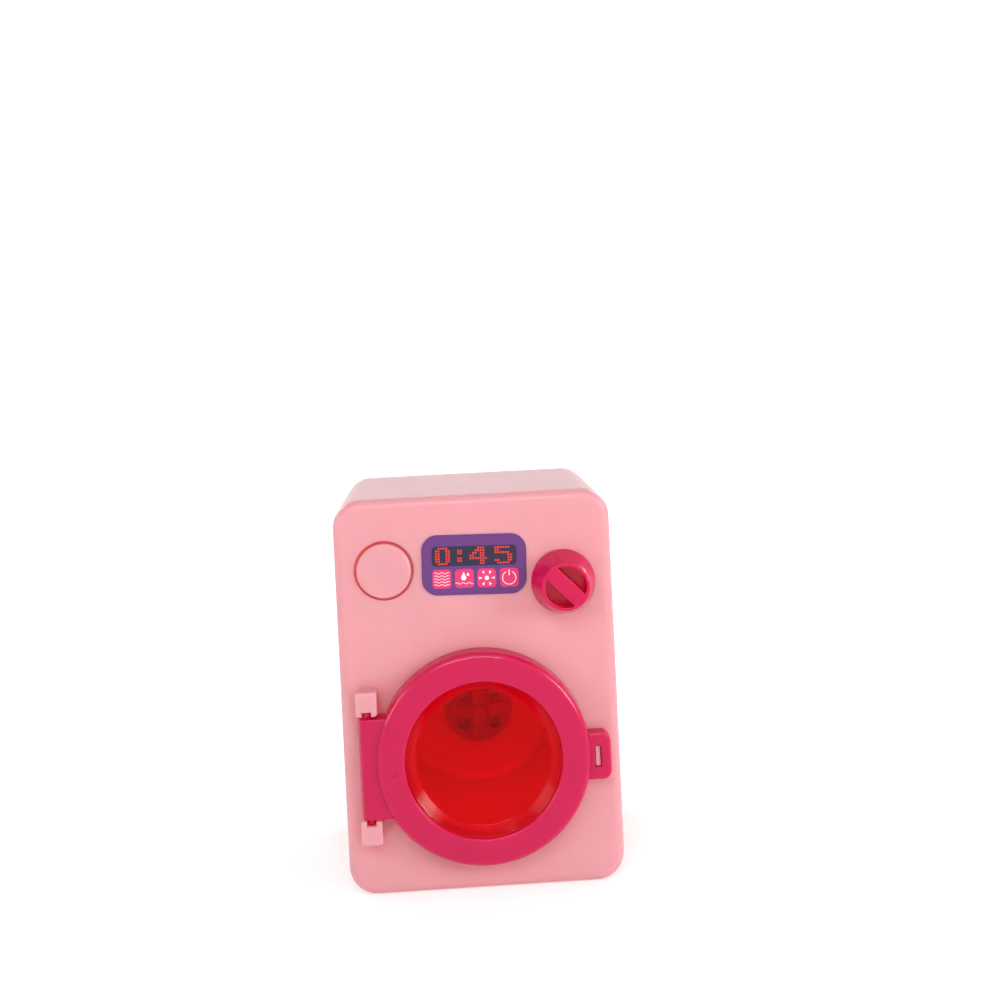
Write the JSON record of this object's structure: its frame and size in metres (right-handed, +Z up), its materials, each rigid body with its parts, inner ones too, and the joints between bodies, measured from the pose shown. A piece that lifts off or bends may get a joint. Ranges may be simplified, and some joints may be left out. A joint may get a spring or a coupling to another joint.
{
  "type": "toy washing machine",
  "caption": "Toy washing machine: rounded box case, hinged round porthole door, sprung push button, and a turning knob geared to a pulsator in the tub.",
  "frame": {"origin": "middle of the case's flat base, at mid width and mid depth of the case", "axes": "+Z up, +X to the right seen from the front, +Y from the front face to the back"},
  "size_m": [0.084, 0.0694, 0.12],
  "materials": {
    "case_plastic": "glossy moulded, light pink",
    "door_plastic": "glossy moulded, magenta",
    "window_plastic": "clear tinted red, polished",
    "label_print": "printed vinyl, satin",
    "drum_plastic": "moulded, satin red",
    "white_plastic": "moulded, natural white",
    "gear_plastic": "moulded, ivory",
    "steel": "zinc plated"
  },
  "bodies": {
    "case": {"front_shell": "case_plastic", "back_cover": "case_plastic", "case_screws": "steel", "display_label": "label_print", "button_spring": "steel", "button_retainer": "white_plastic", "retainer_screws": "steel", "knob_bush": "white_plastic", "tub": "drum_plastic", "tub_screws": "steel", "tub_bush": "white_plastic", "idler_axle": "steel", "gear_plate": "white_plastic", "plate_screws": "steel"},
    "door": {"door_ring": "door_plastic", "door_window": "window_plastic", "window_clamp": "door_plastic", "clamp_screws": "steel", "hinge_pin": "door_plastic"},
    "knob": {"knob": "door_plastic", "knob_clip": "steel", "knob_shaft": "steel", "knob_gear": "gear_plastic"},
    "idler": {"idler_gear": "gear_plastic"},
    "drum": {"pulsator": "drum_plastic", "drum_shaft": "steel", "drum_gear": "gear_plastic"},
    "button": {"button": "case_plastic"}
  },
  "joints": [
    {"name": "door_hinge", "type": "hinge", "parent": "case", "child": "door", "pos_m": [-0.034, -0.0331, 0.0408], "axis": [0, 0, -1], "range_deg": [0, 120]},
    {"name": "knob_spin", "type": "hinge", "parent": "case", "child": "knob", "pos_m": [0.0268, 0, 0.0927], "axis": [0, -1, 0], "continuous": true},
    {"name": "idler_spin", "type": "hinge", "parent": "case", "child": "idler", "pos_m": [0.01456, 0.0185, 0.06938], "axis": [0, -1, 0], "continuous": true},
    {"name": "drum_spin", "type": "hinge", "parent": "case", "child": "drum", "pos_m": [0.0002, 0, 0.042], "axis": [0, -1, 0], "continuous": true},
    {"name": "button_press", "type": "slide", "parent": "case", "child": "button", "axis": [0, 1, 0], "range_m": [0, 0.003], "stiffness_N_per_m": 200, "springref_m": -0.002, "deforming": ["button_spring"]}
  ],
  "couplings": [
    {"joint": "idler_spin", "follows": "knob_spin", "ratio": -0.64286},
    {"joint": "drum_spin", "follows": "knob_spin", "ratio": 0.69231}
  ]
}
